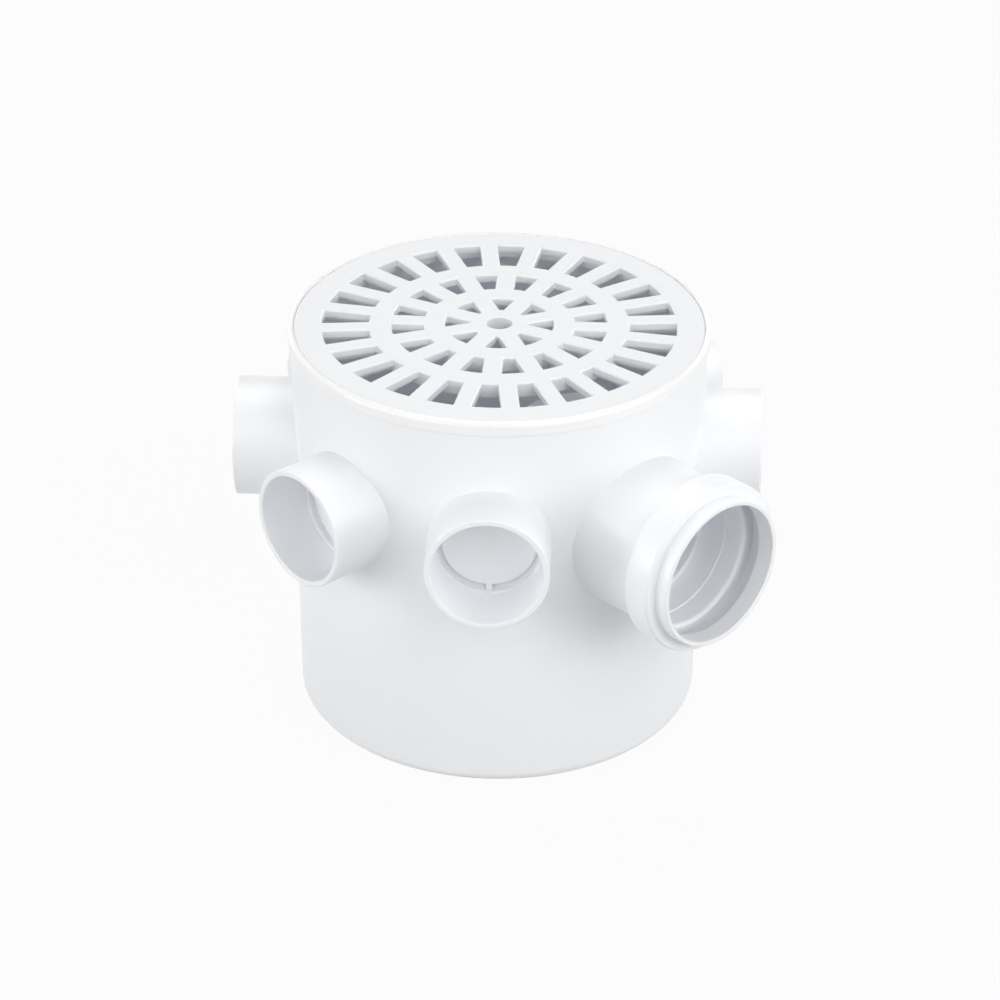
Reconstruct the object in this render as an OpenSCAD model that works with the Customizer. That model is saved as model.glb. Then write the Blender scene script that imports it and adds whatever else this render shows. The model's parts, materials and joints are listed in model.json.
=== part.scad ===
// Round floor gully with a water seal: a pot with closed inlet sockets, one ring-seal
// outlet, a lift-out grate in a collar, and a siphon tube with a cleaning plug inside.
// Millimetres. The origin is the centre of the pot's base, +Z is up and the outlet is on +X.

/* [Pot] */
// Outside diameter of the pot at its rim
pot_od = 154; // [148:1:164]
// Height of the pot from its base to its rim
pot_h = 148.5; // [144:0.1:165]
// Thickness of the pot's side wall
pot_wall = 3; // [2.4:0.1:3.4]
// Thickness of the pot's floor
floor_t = 3; // [2:0.1:4]
// How much narrower the base is than the rim, on the radius
pot_draft = 1; // [0.4:0.1:1.4]
// Radius of the edge round the base
base_round = 4.2; // [2.2:0.1:6]

/* [Inlets] */
// Outside diameter of the pipe that each inlet takes
inlet_pipe_od = 40; // [38:0.5:42]
// Clearance round that pipe, on the radius
inlet_gap = 0.1; // [0.05:0.05:0.4]
// Wall of an inlet socket
inlet_wall = 2.2; // [1.8:0.1:2.6]
// How far an inlet's mouth stands off the pot's rim radius
inlet_proj = 21; // [15:0.1:28]
// Height of the inlets' axes above the base
inlet_z = 103.4; // [97:0.1:108]
// Number of equal places round the pot, the outlet's own included
port_places = 8; // [6:1:8]
// Width of the ledge that stops the pipe
stop_w = 1.2; // [0.8:0.1:1.6]
// How far that ledge stands in front of the knock-out disc
stop_step = 1.35; // [0.8:0.05:2]
// How far the disc's face is set back from the pot's rim radius
disc_set = 1; // [0.6:0.1:1.2]
// Thickness of the knock-out disc
disc_t = 2; // [1.6:0.1:2.6]
// Width of the groove round the disc
knock_w = 1.8; // [1.4:0.1:2.6]
// Thickness of the web left under that groove
web_t = 0.8; // [0.6:0.1:1.2]
// Width of the tab that bridges the groove below the disc
tab_w = 2.2; // [1.5:0.1:4]
// Width of the notch on each side of that tab
notch_w = 1; // [0.6:0.1:1.6]
// Thickness of the skin left behind a notch
notch_skin = 0.4; // [0.3:0.05:0.6]

/* [Outlet] */
// Outside diameter of the pipe that the outlet takes
outlet_pipe_od = 50.7; // [49:0.1:52]
// Clearance round that pipe in its seat, on the radius
outlet_gap = 0.2; // [0.1:0.05:0.4]
// Clearance round that pipe at the mouth, on the radius
mouth_gap = 0.85; // [0.6:0.05:1.2]
// Height of the outlet's axis above the base
outlet_z = 97.6; // [95:0.1:100]
// How far the outlet's mouth stands off the pot's rim radius
outlet_proj = 40.4; // [37:0.1:48]
// Wall of the collar at the mouth
collar_wall = 1.9; // [1.5:0.1:2.5]
// Length of the collar in front of the ring housing
collar_len = 5.4; // [3:0.1:8]
// Wall of the ring housing
housing_wall = 2.1; // [1.6:0.1:2.8]
// Thickness of the housing's front face
housing_front = 1.6; // [1.2:0.1:2.5]
// Thickness of the housing's back
housing_back = 3.6; // [2.6:0.1:4.5]
// Depth of the ring groove beyond the pipe's seat
ring_depth = 4.65; // [3.5:0.05:6]
// Width of the ring groove
ring_w = 6.8; // [5:0.1:9]
// Length of the pipe's seat behind the ring groove
seat_len = 9.1; // [6:0.1:12]
// Height of the small ledge that stops the pipe
seat_step = 0.45; // [0.3:0.05:0.9]
// Wall of the neck where it meets the ring housing
neck_wall = 2.9; // [2:0.1:3.4]
// How much wider the neck is at the pot, on the radius
neck_draft = 1; // [0.2:0.1:1.4]

/* [Grate frame] */
// How far the frame's rim stands out past the pot
rim_over = 1; // [0.6:0.1:4]
// Height of the frame's rim above the pot's edge
rim_h = 4.8; // [4.2:0.1:7]
// Radius of the rim's rounded outer edge
rim_round = 1.6; // [0.8:0.1:1.8]
// Width of the rim round the grate
rim_w = 2; // [1.8:0.05:2.5]
// Width of the ledge that carries the grate
ledge_w = 7.5; // [6.6:0.1:8]
// Depth of the spigot inside the pot
spigot_h = 8; // [5:0.5:14]
// Wall of the spigot
spigot_wall = 2.2; // [1.6:0.1:3]
// Clearance between the spigot and the pot, on the radius
spigot_gap = 0.2; // [0.1:0.05:0.4]

/* [Grate] */
// Thickness of the grate's plate
plate_t = 3; // [2.4:0.1:3.2]
// Clearance between the grate and the frame, on the radius
grate_gap = 0.1; // [0.1:0.05:0.8]
// How far the grate happens to be turned in its frame, in degrees
grate_turn = -1.5; // [-7.5:0.5:7.5]
// Chamfer on the upper edges of the slots
slot_edge = 0.5; // [0.3:0.1:0.8]
// Width of the plain band outside the slots
outer_band = 10.35; // [9.8:0.05:12]
// Length of the outer slots
outer_slot = 17.45; // [14:0.05:18]
// Number of outer slots
outer_n = 24; // [16:1:28]
// Width of the bars between the outer slots
outer_bar = 6.6; // [4:0.1:7]
// Width of the band between the outer and middle slots
second_band = 8.2; // [6:0.1:9]
// Length of the middle slots
middle_slot = 11.8; // [9:0.1:12.5]
// Number of middle slots
middle_n = 16; // [10:1:18]
// Width of the bars between the middle slots
middle_bar = 7; // [4:0.1:7.4]
// Width of the band between the middle and inner slots
third_band = 8; // [6:0.1:9]
// Length of the inner slots
inner_slot = 9.4; // [7:0.1:10]
// Number of inner slots
inner_n = 8; // [6:1:8]
// Width of the bars between the inner slots
inner_bar = 7; // [5:0.1:7.4]
// Diameter of the hole in the middle
hub_bore = 9.6; // [6:0.1:12]
// Wall of the boss round that hole
boss_wall = 2.4; // [1.6:0.1:3]
// Depth of the boss and the round ribs, from the grate's face
ring_rib_h = 5.6; // [4.5:0.1:7]
// Depth of the ribs under the bars, from the grate's face
bar_rib_h = 5.2; // [4:0.1:7]
// Thickness of the ribs
rib_t = 2; // [1.2:0.1:3]

/* [Siphon] */
// How much wider the siphon tube is than its branch, on the radius
siphon_over = 0.55; // [0.3:0.05:1.5]
// Wall of the siphon tube and its branch
siphon_wall = 2.1; // [1.6:0.1:2.6]
// Clearance between the siphon tube and the pot's wall
siphon_gap = 1.3; // [0.5:0.1:4]
// Clearance between the branch and the outlet's neck, on the radius
branch_gap = 0.15; // [0.05:0.05:0.3]
// Length of the branch inside the neck, from the pot's rim radius
branch_in = 7; // [5:0.5:14]
// Depth of the water seal, from the branch's invert to the tube's foot
seal_depth = 54; // [50:1:58]
// Height of the tube's head above the branch's bore
head_h = 6.6; // [6:0.1:9]

/* [Cleaning plug] */
// Thickness of the plug's flange
plug_flange_t = 2; // [1.5:0.1:3]
// Depth of the plug's spigot in the tube
plug_depth = 5.8; // [5.4:0.1:6]
// Clearance between the plug's spigot and the tube, on the radius
plug_gap = 0.15; // [0.1:0.05:0.3]
// Wall of the plug's cup
plug_wall = 2.4; // [1.8:0.1:3.2]
// Thickness of the bar that lifts the plug
grip_t = 3; // [2:0.1:5]
// Radial thickness of the seal ring once it is fitted
seal_t = 2; // [1.6:0.1:2.4]
// Height of the seal ring once it is fitted
seal_h = 2.8; // [2.6:0.1:3]

/* [Hidden] */
$fn = 96;
eps = 0.01;

lip_round = 0.5;        // rounding of the sockets' mouths
small_round = 0.6;      // rounding of lesser edges
housing_round = 0.9;    // rounding of the ring housing's front edge
back_round = 2;         // rounding of the ring housing's back edge
tab_overlap = 0.3;      // how far the knock-out's tab runs into what it joins

// Pot
pot_r = pot_od / 2;
base_r = pot_r - pot_draft;
pot_ri = pot_r - pot_wall;
base_ri = base_r - pot_wall;
inner_round = base_round - 1;

// Inlets: distances along a socket are measured from the pot's axis
inlet_r = inlet_pipe_od / 2 + inlet_gap;
inlet_ro = inlet_r + inlet_wall;
inlet_mouth = pot_r + inlet_proj;
stop_r = inlet_r - stop_w;
disc_r = stop_r - knock_w;
pocket_r = (stop_r + disc_r) / 2;
disc_front = pot_r - disc_set;
stop_face = disc_front + stop_step;
disc_back = disc_front - disc_t;

// Outlet
seat_r = outlet_pipe_od / 2 + outlet_gap;
mouth_r = outlet_pipe_od / 2 + mouth_gap;
collar_ro = mouth_r + collar_wall;
groove_r = seat_r + ring_depth;
housing_ro = groove_r + housing_wall;
neck_r = seat_r - seat_step;
neck_ro = neck_r + neck_wall;
outlet_mouth = pot_r + outlet_proj;
housing_face = outlet_mouth - collar_len;
groove_front = housing_face - housing_front;
groove_back = groove_front - ring_w;
housing_start = groove_back - housing_back;
seat_start = groove_back - seat_len;
shoulder_round = housing_back * 0.45;

// Grate frame
rim_r = pot_r + rim_over;
top_z = pot_h + rim_h;
seat_recess_r = rim_r - rim_w;
ledge_r = seat_recess_r - ledge_w;
ledge_z = top_z - plate_t;
spigot_ro = pot_ri - spigot_gap;
spigot_ri = spigot_ro - spigot_wall;

// Grate: the radii run inwards from its edge
grate_r = seat_recess_r - grate_gap;
outer_ro = grate_r - outer_band;
outer_ri = outer_ro - outer_slot;
middle_ro = outer_ri - second_band;
middle_ri = middle_ro - middle_slot;
inner_ro = middle_ri - third_band;
inner_ri = inner_ro - inner_slot;
hub_r = hub_bore / 2;
skirt_ro = ledge_r - grate_gap;

// Siphon
branch_ro = neck_r - branch_gap;
branch_ri = branch_ro - siphon_wall;
siphon_r = branch_ro + siphon_over;
siphon_ri = siphon_r - siphon_wall;
branch_end = pot_r + branch_in;
siphon_x = base_ri - siphon_gap - siphon_r;
siphon_foot = outlet_z - branch_ri - seal_depth;
siphon_head = outlet_z + branch_ri + head_h;
plug_r = siphon_ri - plug_gap;
seal_ri = siphon_ri - seal_t;
seal_z = siphon_head - plug_depth + (plug_depth - seal_h) / 2;
grip_w = siphon_r;

// A disc or tube along +Z between two heights
module disc(r, z0, z1) {
    translate([0, 0, z0]) cylinder(r = r, h = z1 - z0);
}

// Sections for rotate_extrude: a block from r0 to r1 and from z0 to z1
module block(r0, r1, z0, z1) {
    translate([r0, z0]) square([r1 - r0, z1 - z0]);
}

// A block whose upper outer corner is rounded
module round_block(r0, r1, z0, z1, e) {
    block(r0, r1, z0, z1 - e);
    block(r0, r1 - e, z0, z1);
    intersection() {
        block(r0, r1, z0, z1);
        translate([r1 - e, z1 - e]) circle(r = e);
    }
}

// The waste round a bore whose mouth, at height z, opens with a rounded edge
module flare(r, z, e) {
    difference() {
        block(r - eps, r + e, z - e, z + eps);
        translate([r + e, z - e]) circle(r = e);
    }
}

// The waste outside the rounded upper edge of a boss
module round_off(r, z, e) {
    difference() {
        block(r - e, r + eps, z - e, z + eps);
        translate([r - e, z - e]) circle(r = e);
    }
}

// Turns a shape drawn along +Z so that it points out of the pot at an angle and height
module port(angle, z) {
    rotate([0, 0, angle]) translate([0, 0, z]) rotate([0, 90, 0]) children();
}

// Repeats a shape at every inlet
module at_inlets() {
    for (i = [1 : port_places - 1])
        port(i * 360 / port_places, inlet_z) children();
}

module pot_outside() {
    rotate_extrude($fn = 180) {
        polygon([[0, base_round], [base_r, base_round], [pot_r, pot_h], [0, pot_h]]);
        block(0, base_r - base_round, 0, base_round + eps);
        intersection() {
            translate([base_r - base_round, base_round]) circle(r = base_round);
            block(0, base_r, 0, base_round + eps);
        }
    }
}

module pot_inside() {
    z0 = floor_t + inner_round;
    rotate_extrude($fn = 180) {
        polygon([[0, z0], [base_ri, z0], [pot_ri, pot_h], [pot_ri, pot_h + 1], [0, pot_h + 1]]);
        block(0, base_ri - inner_round, floor_t, z0 + eps);
        intersection() {
            translate([base_ri - inner_round, z0]) circle(r = inner_round);
            block(0, base_ri, floor_t, z0 + eps);
        }
    }
}

module inlet_outside() {
    rotate_extrude() round_block(0, inlet_ro, pot_r / 2, inlet_mouth, lip_round);
}

// The pipe's bore, the step to the knock-out disc, the groove round it, the notches beside
// its tab and, from inside the pot, the shallow pocket behind it
module inlet_bore() {
    rotate_extrude() {
        block(0, inlet_r, stop_face, inlet_mouth + 1);
        flare(inlet_r, inlet_mouth, lip_round);
        block(0, stop_r, disc_front, stop_face + eps);
        block(disc_r, stop_r, disc_back + web_t, stop_face);
        round_off(disc_r, disc_front, small_round);
    }
    disc(pocket_r, pot_r / 2, disc_back);
    translate([disc_r, -tab_w / 2 - notch_w, disc_back + notch_skin])
        cube([knock_w, tab_w + 2 * notch_w, web_t]);
}

module inlet_tab() {
    translate([disc_r - tab_overlap, -tab_w / 2, disc_back])
        cube([knock_w + 2 * tab_overlap, tab_w, disc_t]);
}

module outlet_outside() {
    rotate_extrude() {
        polygon([[0, pot_r / 2], [neck_ro + neck_draft, pot_r / 2], [neck_ro + neck_draft, pot_r],
                 [neck_ro, housing_start], [neck_ro, housing_face], [0, housing_face]]);
        round_block(0, housing_ro, housing_start + back_round, housing_face, housing_round);
        block(0, housing_ro - back_round, housing_start, housing_face - housing_round);
        translate([housing_ro - back_round, housing_start + back_round]) circle(r = back_round);
        round_block(0, collar_ro, housing_start, outlet_mouth, lip_round);
    }
}

module outlet_bore() {
    rotate_extrude() {
        block(0, neck_r, pot_r / 2, outlet_mouth);
        block(0, seat_r, seat_start, outlet_mouth);
        flare(seat_r, groove_back, shoulder_round);
        block(0, groove_r, groove_back, groove_front);
        block(0, mouth_r, groove_back, outlet_mouth + 1);
        flare(mouth_r, outlet_mouth, lip_round);
    }
}

module body() {
    color("white") {
        difference() {
            union() {
                pot_outside();
                at_inlets() inlet_outside();
                port(0, outlet_z) outlet_outside();
            }
            pot_inside();
            at_inlets() inlet_bore();
            port(0, outlet_z) outlet_bore();
        }
        at_inlets() inlet_tab();
    }
}

module grate_frame() {
    color("white")
        rotate_extrude($fn = 180) {
            round_block(seat_recess_r, rim_r, pot_h, top_z, rim_round);
            block(ledge_r, rim_r - eps, pot_h, ledge_z);
            block(spigot_ri, spigot_ro, pot_h - spigot_h, pot_h + eps);
        }
}

// Section of a flat ring of the grate with chamfered upper edges
module band(r0, r1) {
    rotate_extrude($fn = 180)
        polygon([[r0, ledge_z], [r1, ledge_z], [r1, top_z - slot_edge], [r1 - slot_edge, top_z],
                 [r0 + slot_edge, top_z], [r0, top_z - slot_edge]]);
}

module round_rib(r0, r1) {
    rotate_extrude($fn = 180) block(r0, r1, top_z - ring_rib_h, ledge_z + eps);
}

// Bars with chamfered upper edges between two rings, each with its rib, at half a step
// from the slots' own places
module bars(count, r0, r1, w, first) {
    bite = slot_edge + 1;
    for (i = [0 : count - 1])
        rotate([0, 0, first + i * 360 / count]) {
            translate([r0 - bite, 0, 0]) rotate([90, 0, 90])
                linear_extrude(height = r1 - r0 + 2 * bite)
                    polygon([[-w / 2, ledge_z], [w / 2, ledge_z], [w / 2, top_z - slot_edge],
                             [w / 2 - slot_edge, top_z], [-w / 2 + slot_edge, top_z],
                             [-w / 2, top_z - slot_edge]]);
            translate([r0 - bite, -rib_t / 2, top_z - bar_rib_h])
                cube([r1 - r0 + 2 * bite, rib_t, bar_rib_h - plate_t + eps]);
        }
}

module grate() {
    color("whitesmoke")
        rotate([0, 0, grate_turn]) {
            band(outer_ro, grate_r);
            band(middle_ro, outer_ri);
            band(inner_ro, middle_ri);
            band(hub_r, inner_ri);
            bars(outer_n, outer_ri, outer_ro, outer_bar, 180 / outer_n);
            bars(middle_n, middle_ri, middle_ro, middle_bar, 0);
            bars(inner_n, inner_ri, inner_ro, inner_bar, 180 / inner_n);
            round_rib(skirt_ro - rib_t, skirt_ro);
            round_rib(outer_ri - rib_t, outer_ri);
            round_rib(middle_ri - rib_t, middle_ri);
            round_rib(hub_r, hub_r + boss_wall);
        }
}

module siphon_tube() {
    color("white")
        difference() {
            union() {
                translate([siphon_x, 0, 0]) disc(siphon_r, siphon_foot, siphon_head);
                port(0, outlet_z) disc(branch_ro, siphon_x, branch_end);
            }
            translate([siphon_x, 0, 0]) disc(siphon_ri, siphon_foot - 1, siphon_head + 1);
            port(0, outlet_z) disc(branch_ri, siphon_x, branch_end + 1);
        }
}

module cleanout_plug() {
    top = siphon_head + plug_flange_t;
    foot = siphon_head - plug_depth;
    cup_r = seal_ri - plug_wall;
    color("white")
        translate([siphon_x, 0, 0]) {
            difference() {
                rotate_extrude() {
                    round_block(0, siphon_r, siphon_head, top, small_round);
                    block(0, plug_r, foot, siphon_head + eps);
                }
                rotate_extrude() block(seal_ri, plug_r + 1, seal_z, seal_z + seal_h);
                disc(cup_r, foot + plug_wall, top + 1);
            }
            intersection() {
                disc(cup_r + eps, foot, top);
                translate([-grip_w, -grip_t / 2, foot]) cube([2 * grip_w, grip_t, top - foot]);
            }
        }
}

module plug_seal() {
    r = seal_t / 2;
    color("dimgray")
        translate([siphon_x, 0, 0])
            rotate_extrude() {
                translate([seal_ri + r, seal_z + r]) circle(r = r);
                translate([seal_ri + r, seal_z + seal_h - r]) circle(r = r);
                block(seal_ri, siphon_ri, seal_z + r, seal_z + seal_h - r);
            }
}

body();
grate_frame();
grate();
siphon_tube();
cleanout_plug();
plug_seal();
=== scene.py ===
# %% [markdown]
# # A round floor gully in white plastic
# The solids come from the construction model, and their shapes are right as they are, so no
# piece is modelled anew. This file gives them their finish, their light and their view.
# Everything is in metres, with +Z up, the outlet along +X and the base at z = 0.

# %% Load the solids
import json
import math

import bpy
from mathutils import Euler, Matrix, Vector


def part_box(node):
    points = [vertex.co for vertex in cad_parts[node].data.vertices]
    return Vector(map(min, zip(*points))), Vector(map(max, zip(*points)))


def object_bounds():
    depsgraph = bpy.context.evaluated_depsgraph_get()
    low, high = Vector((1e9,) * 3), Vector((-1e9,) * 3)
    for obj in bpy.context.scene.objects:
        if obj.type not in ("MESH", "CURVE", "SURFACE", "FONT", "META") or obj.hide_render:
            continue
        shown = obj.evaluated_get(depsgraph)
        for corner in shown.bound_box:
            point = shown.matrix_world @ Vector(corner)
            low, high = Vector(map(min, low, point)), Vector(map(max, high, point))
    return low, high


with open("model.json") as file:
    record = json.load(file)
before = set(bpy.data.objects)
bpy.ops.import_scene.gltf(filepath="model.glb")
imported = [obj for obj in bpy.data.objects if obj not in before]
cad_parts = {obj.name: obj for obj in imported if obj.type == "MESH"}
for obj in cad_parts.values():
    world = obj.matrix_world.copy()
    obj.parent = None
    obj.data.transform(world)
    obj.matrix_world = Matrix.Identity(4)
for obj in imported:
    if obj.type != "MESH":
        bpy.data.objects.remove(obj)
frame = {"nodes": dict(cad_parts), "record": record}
cad_low, cad_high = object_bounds()
nodes = frame["nodes"]
mm = 0.001
print("nodes:", ", ".join(sorted(nodes)))
print("box:", [round(side / mm, 1) for side in cad_high - cad_low], "mm")

# %% [markdown]
# ## Camera
# A long lens a good metre away keeps the sockets nearly true to shape. The camera stands
# between the outlet and one of the inlets and looks down at thirty degrees, so the grate, the
# mouths of the sockets and the side of the pot all show at once.

# %% Camera
camera_data = bpy.data.cameras.new("camera")
camera_data.sensor_width = 36
camera_data.lens = 123.78
camera_data.clip_start, camera_data.clip_end = 0.05, 20
camera = bpy.data.objects.new("camera", camera_data)
bpy.context.scene.collection.objects.link(camera)
bpy.context.scene.camera = camera

camera.location = (0.8315, -0.7660, 0.7301)
forward = Vector((-0.6367, 0.5872, -0.4998))
aim = forward.to_track_quat("-Z", "Y")
roll = math.radians(0.337)
camera.rotation_mode = "QUATERNION"
camera.rotation_quaternion = aim @ Euler((0, 0, roll)).to_quaternion()
print("camera at", [round(v, 3) for v in camera.location], "lens", camera_data.lens, "mm")

# %% [markdown]
# ## Nodes
# Every material below is a small network. Three helpers keep the cells short: one adds a node
# with its values, one adds a step of arithmetic, and one multiplies a colour by a share.


# %% Node helpers
def node(tree, kind, **settings):
    """A new node; a setting that is one of its sockets is the socket's value."""
    n = tree.nodes.new(kind)
    for key, value in settings.items():
        if key in n.inputs:
            n.inputs[key].default_value = value
        else:
            setattr(n, key, value)
    return n


def math_node(tree, operation, *values):
    """One step of arithmetic on numbers and on other nodes' outputs."""
    n = node(tree, "ShaderNodeMath", operation=operation)
    for socket, value in zip(n.inputs, values):
        if isinstance(value, (int, float)):
            socket.default_value = value
        else:
            tree.links.new(value, socket)
    return n.outputs[0]


def multiply_colour(tree, colour, share):
    """The colour of one output, darkened to a share of itself by another."""
    n = node(tree, "ShaderNodeMix", data_type="RGBA", blend_type="MULTIPLY")
    n.inputs["Factor"].default_value = 1
    colour_a, colour_b = (s for s in n.inputs if s.type == "RGBA")
    tree.links.new(colour, colour_a)
    tree.links.new(share, colour_b)
    return next(s for s in n.outputs if s.type == "RGBA")


print("helpers ready")

# %% [markdown]
# ## Floor and backdrop
# The gully stands on a plain white table. A matt table would need so much light to look white
# that the gully would burn out. So to the camera, and in reflections, the table is mostly a plain
# white glow that blends into the white backdrop. The rest of it is an ordinary matt surface that
# still holds the shadow under the pot, and all other light meets that surface alone.


# %% Floor
def sees_white(tree):
    """1 for the rays that show the white studio: the camera's own, mirrored and clear ones."""
    rays = tree.nodes.new("ShaderNodeLightPath").outputs
    shown = math_node(tree, "MAXIMUM", rays["Is Camera Ray"], rays["Is Glossy Ray"])
    return math_node(tree, "MAXIMUM", shown, rays["Is Transmission Ray"])


for ob in bpy.context.selected_objects:
    ob.select_set(False)
table_size, table_clearance, table_grey, glow_share = 12, 0.2 * mm, 0.55, 0.95
bpy.ops.mesh.primitive_plane_add(size=table_size, location=(0, 0, cad_low.z - table_clearance))
floor = bpy.context.object
floor.name = "floor"
floor_paint = bpy.data.materials.new("white_table")
floor_paint.use_nodes = True
tree = floor_paint.node_tree
tree.nodes.clear()
matt = node(tree, "ShaderNodeBsdfDiffuse", Color=(table_grey, table_grey, table_grey, 1))
glow = node(tree, "ShaderNodeEmission", Strength=1.0)
mix = tree.nodes.new("ShaderNodeMixShader")
out = tree.nodes.new("ShaderNodeOutputMaterial")
tree.links.new(math_node(tree, "MULTIPLY", sees_white(tree), glow_share), mix.inputs["Fac"])
tree.links.new(matt.outputs[0], mix.inputs[1])
tree.links.new(glow.outputs[0], mix.inputs[2])
tree.links.new(mix.outputs[0], out.inputs["Surface"])
floor.data.materials.append(floor_paint)
print("floor:", round(floor.dimensions.x, 1), "m square")

# %% [markdown]
# The backdrop is white in the same way: at strength 1 it is plain white to look at, and it gives
# the gully almost no light of its own, because the lamps do that.

# %% World
world = bpy.data.worlds.new("white_backdrop")
bpy.context.scene.world = world
world.use_nodes = True
tree = world.node_tree
tree.nodes.clear()
surround = node(tree, "ShaderNodeBackground", Color=(0.985, 0.99, 1.0, 1), Strength=0.02)
backdrop = node(tree, "ShaderNodeBackground", Color=(1, 1, 1, 1), Strength=1.0)
mix = tree.nodes.new("ShaderNodeMixShader")
out = tree.nodes.new("ShaderNodeOutputWorld")
tree.links.new(sees_white(tree), mix.inputs["Fac"])
tree.links.new(surround.outputs[0], mix.inputs[1])
tree.links.new(backdrop.outputs[0], mix.inputs[2])
tree.links.new(mix.outputs[0], out.inputs["Surface"])
print("backdrop strength", backdrop.inputs["Strength"].default_value)

# %% [markdown]
# ## Light
# White plastic is drawn by soft light from all round. One big lamp would leave the far side dark,
# and light from every side alike would leave no shape at all. So ten square soft boxes stand in a
# ring and over it, each a metre wide and 1.6 m from the gully. The two high ones put the bright
# line along the top of each socket and round the rim. The low pair at the sides keeps the round
# walls bright out to their edges. The four in front are weaker than that pair, so the pot turns a
# little grey towards the camera, and the sockets' shadows stay open. A low pair at the rear lights
# the back.

# %% Soft boxes
back = Vector((forward.x, forward.y, 0)).normalized()
right = Vector((back.y, -back.x, 0))
middle = Vector((0, 0, (cad_low.z + cad_high.z) / 2))
box_side, box_distance = 1.0, 1.6


def seen_from_camera(side, height):
    """A direction turned to the right of the camera's own and raised, both in degrees."""
    side, height = math.radians(side), math.radians(height)
    level = right * math.sin(side) - back * math.cos(side)
    return level * math.cos(height) + Vector((0, 0, math.sin(height)))


def soft_box(name, side, height, power):
    """A square lamp that looks at the middle of the gully and isn't seen itself."""
    lamp = bpy.data.lights.new(name, "AREA")
    lamp.shape, lamp.size, lamp.energy = "SQUARE", box_side, power
    ob = bpy.data.objects.new(name, lamp)
    bpy.context.scene.collection.objects.link(ob)
    ob.visible_camera = False
    out_of_object = seen_from_camera(side, height)
    ob.location = middle + out_of_object * box_distance
    ob.rotation_mode = "QUATERNION"
    ob.rotation_quaternion = (-out_of_object).to_track_quat("-Z", "Y")
    print(name, "at", [round(v, 2) for v in ob.location], power, "W")


for name, side, height, power in (
        ("overhead", 180, 78, 5.8), ("behind", 180, 58, 6.9),
        ("left", -70, 8, 12.0), ("right", 70, 8, 11.1),
        ("rear_left", -145, 8, 4.5), ("rear_right", 145, 8, 4.5),
        ("front_left", -35, 32, 4.9), ("front_left_low", -35, 8, 2.7),
        ("front_right", 35, 32, 8.1), ("front_right_high", 47, 52, 2.6)):
    soft_box(name, side, height, power)

# %% [markdown]
# White walls hand light to and fro many times before it dies out. With the usual four bounces
# the inside of the pot would turn grey, so the light's paths get more of them.

# %% Bounces
light_bounces = 24
cycles = bpy.context.scene.cycles
cycles.max_bounces = cycles.diffuse_bounces = light_bounces
print("bounces:", cycles.diffuse_bounces)

# %% [markdown]
# ## Moulded plastic
# A moulded surface isn't perfectly even: it has a very fine grain from the mould, a slow wave
# where the wall cooled, and faint clouds in its white. A picture of plastic wrapped round it
# would show its joins, so noise is used, which has none. Two helpers come first: one makes an
# empty node group with named sockets, and one adds a noise.


# %% Group and noise helpers
FLOAT, COLOUR = "NodeSocketFloat", "NodeSocketColor"


def new_group(name, sockets_in, sockets_out):
    """An empty shader group, with its input and output nodes."""
    group = bpy.data.node_groups.new(name, "ShaderNodeTree")
    for label, kind, value in sockets_in:
        socket = group.interface.new_socket(name=label, in_out="INPUT", socket_type=kind)
        socket.default_value = value
    for label, kind in sockets_out:
        group.interface.new_socket(name=label, in_out="OUTPUT", socket_type=kind)
    return group, group.nodes.new("NodeGroupInput"), group.nodes.new("NodeGroupOutput")


def noise(tree, coordinates, scale, detail=2.0, roughness=0.5):
    """A noise from 0 to 1 with about this many waves to the metre."""
    n = node(tree, "ShaderNodeTexNoise", Scale=scale, Detail=detail, Roughness=roughness)
    tree.links.new(coordinates, n.inputs["Vector"])
    return n.outputs["Fac"]


print("group helpers ready")

# %% [markdown]
# One group makes the grain, the wave and the clouds from the piece's own coordinates, so they
# stay on it from every side. A fourth noise spreads the gloss, as handling does. Each plastic
# then sets how strong they are.

# %% Moulded surface group
cloud_waves, handling_waves, grain_waves, cooling_waves = 22, 65, 1700, 70
grain_share = 0.2

moulded, g_in, g_out = new_group(
    "moulded_surface",
    [("Colour", COLOUR, (0.85, 0.85, 0.86, 1)), ("Cloud", FLOAT, 0.02),
     ("Roughness", FLOAT, 0.3), ("Roughness spread", FLOAT, 0.06)],
    [("Colour", COLOUR), ("Roughness", FLOAT), ("Height", FLOAT)])

place = moulded.nodes.new("ShaderNodeTexCoord").outputs["Object"]
clouds = noise(moulded, place, cloud_waves, detail=3)
shade = math_node(moulded, "MULTIPLY_ADD", math_node(moulded, "SUBTRACT", clouds, 0.5),
                  g_in.outputs["Cloud"], 1.0)
moulded.links.new(multiply_colour(moulded, g_in.outputs["Colour"], shade), g_out.inputs["Colour"])

handling = noise(moulded, place, handling_waves, detail=4, roughness=0.6)
rough = math_node(moulded, "MULTIPLY_ADD", math_node(moulded, "SUBTRACT", handling, 0.5),
                  g_in.outputs["Roughness spread"], g_in.outputs["Roughness"])
moulded.links.new(rough, g_out.inputs["Roughness"])

grain = noise(moulded, place, grain_waves, detail=2)
wave = noise(moulded, place, cooling_waves, detail=1)
height = math_node(moulded, "MULTIPLY_ADD", wave, 1 - grain_share,
                   math_node(moulded, "MULTIPLY", grain, grain_share))
moulded.links.new(height, g_out.inputs["Height"])
print("group moulded_surface:", len(moulded.nodes), "nodes")

# %% [markdown]
# ## Painted shade in the grooves
# Three places get shade painted into the pot's colour, where it falls in the light: the groove in
# the outlet that waits for its rubber ring, the thin groove round the knock-out disc in every
# inlet, and the corner where the frame's rim sits on the pot. It could be painted on by hand, but
# the grooves are exact rings, so it is placed by measure: how far a point lies along its socket,
# and how far from the socket's axis. The lengths are the moulding's own.

# %% Where the grooves lie
mounts = {m["name"]: m for m in frame["record"]["mounts"]}
outlet, inlet = mounts["outlet"], mounts["inlet_90"]
places = 1 + sum(name.startswith("inlet_") for name in mounts)

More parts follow.
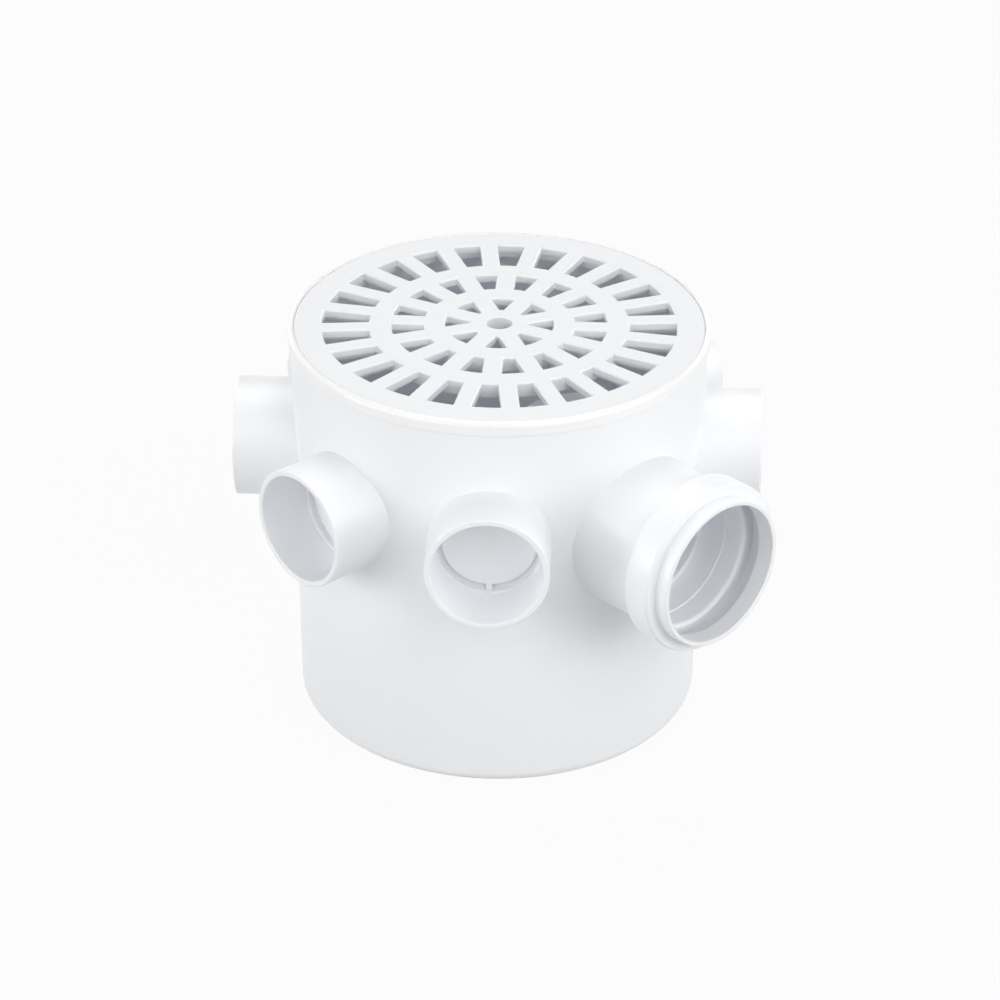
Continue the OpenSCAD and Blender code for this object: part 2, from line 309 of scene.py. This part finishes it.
collar_len, housing_front, ring_w = 5.4 * mm, 1.6 * mm, 6.8 * mm
groove_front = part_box("body")[1][0] - collar_len - housing_front
groove_middle = groove_front - ring_w / 2
groove_r, mouth_r = 30.2 * mm, 26.2 * mm

stop_step, stop_w, knock_w, knock_depth = 1.35 * mm, 1.2 * mm, 1.8 * mm, 1.6 * mm
stop_face = inlet["pos_m"][1] - inlet["dims"]["length_mm"] * mm / 2
disc_front = stop_face - stop_step
stop_r = inlet["dims"]["r_mm"] * mm - stop_w

rim_over, seam_shade_h = 1.0 * mm, 1.5 * mm
seam_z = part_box("body")[1][2]
pot_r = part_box("grate_frame")[1][0] - rim_over
for what, place_m in (("ring groove", groove_middle), ("knock-out discs", disc_front),
                      ("pot's wall", pot_r), ("seam, from the base", seam_z)):
    print(what, round(place_m / mm, 1), "mm")

# %% [markdown]
# All eight sockets share one sum. The angle round the pot is folded onto the nearest of them, and
# the point is then measured along and across that socket, wherever on the pot it is.

# %% Painted groove shade group
# This group paints shade into a colour: in the outlet's ring groove, round the knock-out discs and
# under the rim.
shade_group, shade_in, shade_out = new_group(
    "groove_painted_shade",
    [("Colour", COLOUR, (0.85, 0.85, 0.86, 1)), ("Ring groove", FLOAT, 0.11),
     ("Knock-out groove", FLOAT, 0.42), ("Under the rim", FLOAT, 0.12)],
    [("Colour", COLOUR)])
apart = shade_group.nodes.new("ShaderNodeSeparateXYZ")
shade_group.links.new(shade_group.nodes.new("ShaderNodeTexCoord").outputs["Object"], apart.inputs[0])
x, y, z = apart.outputs


def length(a, b):
    """The long side of a right-angled triangle."""
    return math_node(shade_group, "SQRT", math_node(shade_group, "MULTIPLY_ADD", a, a,
                                             math_node(shade_group, "MULTIPLY", b, b)))


turn = math_node(shade_group, "MULTIPLY", math_node(shade_group, "ARCTAN2", y, x), places / math.tau)
nearest = math_node(shade_group, "ROUND", turn)
fold = math_node(shade_group, "MULTIPLY", math_node(shade_group, "SUBTRACT", turn, nearest), math.tau / places)
out_of_pot = length(x, y)
along = math_node(shade_group, "MULTIPLY", out_of_pot, math_node(shade_group, "COSINE", fold))
across = math_node(shade_group, "MULTIPLY", out_of_pot, math_node(shade_group, "SINE", fold))
print("sockets folded into one:", places)

# %% [markdown]
# The outlet's groove is a deep ring behind the collar. The shade painted into it is even all
# round,
# so its mask is a plain ring: between two distances along the socket, and between two radii.

# %% Painted shade in the ring groove
spare = 0.1 * mm


def between(value, middle, half):
    """1 where a value lies no further than half from the middle, and 0 elsewhere."""
    return math_node(shade_group, "COMPARE", value, middle, half + spare)


# The mask of the painted shade in the outlet's ring groove.
from_outlet = length(across, math_node(shade_group, "SUBTRACT", z, outlet["pos_m"][2]))
in_ring_groove = math_node(
    shade_group, "MULTIPLY", between(along, groove_middle, ring_w / 2),
    between(from_outlet, (groove_r + mouth_r) / 2, (groove_r - mouth_r) / 2))
print("ring groove:", round(ring_w / mm, 1), "mm wide")

# %% [markdown]
# The groove round a knock-out disc is thin and deep. The shade painted into it grows with the
# depth, and towards the disc. The outlet has no disc, and number 0 in the fold is the outlet, so
# it is left out.

# %% Painted shade round the knock-out discs
from_inlet = length(across, math_node(shade_group, "SUBTRACT", z, inlet["pos_m"][2]))
is_inlet = math_node(shade_group, "MINIMUM", math_node(shade_group, "ABSOLUTE", nearest), 1.0)
depth = math_node(shade_group, "MULTIPLY", math_node(shade_group, "SUBTRACT", disc_front, along),
                  1 / knock_depth)
by_disc = math_node(shade_group, "MULTIPLY", math_node(shade_group, "SUBTRACT", stop_r, from_inlet), 1 / knock_w)
in_knock_groove = math_node(
    shade_group, "MULTIPLY", between(along, disc_front - knock_depth / 2, knock_depth / 2),
    between(from_inlet, stop_r - knock_w / 2, knock_w / 2))
# Painted shade, darker deeper in the groove and nearer the disc.
knock_shade = math_node(shade_group, "MULTIPLY", math_node(shade_group, "MULTIPLY", in_knock_groove, is_inlet),
                       math_node(shade_group, "MULTIPLY", math_node(shade_group, "MULTIPLY", depth, depth),
                                 math_node(shade_group, "MAXIMUM", by_disc, 0.0)))
print("knock-out grooves:", places - 1)

# %% [markdown]
# Under the frame's rim a painted shadow is a thin line that fades out a little way down the pot.
# It lies on the outside alone. The three painted shades then add up, and the colour is darkened by
# their sum.

# %% Painted shadow under the rim, and the darkened colour
outer_skin = 0.5 * mm
# The painted shadow under the rim, fading downwards over its height.
up_to_rim = math_node(shade_group, "MULTIPLY", math_node(shade_group, "SUBTRACT", z, seam_z - seam_shade_h),
                      1 / seam_shade_h)
under_rim = math_node(shade_group, "MULTIPLY", math_node(shade_group, "MAXIMUM", up_to_rim, 0.0),
                      math_node(shade_group, "GREATER_THAN", out_of_pot, pot_r - outer_skin))

painted_shade = math_node(shade_group, "MULTIPLY", in_ring_groove, shade_in.outputs["Ring groove"])
painted_shade = math_node(shade_group, "MULTIPLY_ADD", knock_shade, shade_in.outputs["Knock-out groove"], painted_shade)
painted_shade = math_node(shade_group, "MULTIPLY_ADD", under_rim, shade_in.outputs["Under the rim"], painted_shade)
shade_group.links.new(multiply_colour(shade_group, shade_in.outputs["Colour"],
                               math_node(shade_group, "SUBTRACT", 1.0, painted_shade)), shade_out.inputs["Colour"])
print("group groove_painted_shade:", len(shade_group.nodes), "nodes")

# %% [markdown]
# ## Five finishes
# The pot and its siphon tube are one white plastic, the frame a whiter and shinier one, and the
# grate and the plug a duller one, because feet and hands wear them. The plug's seal is black
# rubber. One function makes them all, because they differ only in their values: each is one
# Principled shader, and what changes over the surface comes from the groups.

# %% How a finish is made
plastic_ior = 1.5


def finish(name, colour, roughness, spread, cloud, bump, grooves=False):
    """A moulded finish: its colour, its gloss and how it spreads, its clouds and its relief."""
    mat = bpy.data.materials.new(name)
    mat.use_nodes = True
    tree = mat.node_tree
    shader = tree.nodes["Principled BSDF"]
    shader.inputs["IOR"].default_value = plastic_ior
    surface = node(tree, "ShaderNodeGroup", node_tree=moulded)
    surface.inputs["Colour"].default_value = (*colour, 1)
    surface.inputs["Cloud"].default_value = cloud
    surface.inputs["Roughness"].default_value = roughness
    surface.inputs["Roughness spread"].default_value = spread
    shown = surface.outputs["Colour"]
    # With grooves set, the colour gets the painted shade of the grooves and under the rim.
    if grooves:
        shaded = node(tree, "ShaderNodeGroup", node_tree=shade_group)
        tree.links.new(shown, shaded.inputs["Colour"])
        shown = shaded.outputs["Colour"]
    relief = node(tree, "ShaderNodeBump", Strength=1.0, Distance=bump)
    tree.links.new(shown, shader.inputs["Base Color"])
    tree.links.new(surface.outputs["Roughness"], shader.inputs["Roughness"])
    tree.links.new(surface.outputs["Height"], relief.inputs["Height"])
    tree.links.new(relief.outputs[0], shader.inputs["Normal"])
    print("finish", name)
    return mat


print("finish() ready")

# %% [markdown]
# The relief of each finish is given in thousandths of a millimetre. Moulds are polished where a
# part should shine, so the frame has the finest grain, and rubber the coarsest.

# %% Finishes
um = 0.000001
# The pot's colour carries painted shade in its grooves and under the rim.
pot_white = finish("pot_white", (0.915, 0.924, 0.942), roughness=0.34, spread=0.05,
                   cloud=0.03, bump=20 * um, grooves=True)
frame_white = finish("frame_white", (0.94, 0.942, 0.945), roughness=0.28, spread=0.05,
                     cloud=0.02, bump=10 * um)
grate_white = finish("grate_white", (0.90, 0.907, 0.922), roughness=0.40, spread=0.06,
                     cloud=0.03, bump=50 * um)
plug_white = finish("plug_white", (0.90, 0.905, 0.915), roughness=0.36, spread=0.06,
                    cloud=0.03, bump=50 * um)
seal_black = finish("seal_black", (0.018, 0.018, 0.02), roughness=0.62, spread=0.1,
                    cloud=0.2, bump=80 * um)

# %% [markdown]
# Every piece already has a slot for its material. The finish goes into the slot, and the piece
# itself stays as it was drawn.

# %% Finishes on the pieces
finishes = {"body": pot_white, "siphon_tube": pot_white, "grate_frame": frame_white,
            "grate": grate_white, "cleanout_plug": plug_white, "plug_seal": seal_black}
for name, ob in nodes.items():
    for slot in ob.material_slots:
        slot.material = finishes[name]
    print(name, "->", finishes[name].name, len(ob.data.polygons), "faces")

# %% [markdown]
# ## View
# A finish adds no thickness. The colours are shown through the plain Standard view.

# %% View transform
bpy.context.scene.view_settings.view_transform = "Standard"
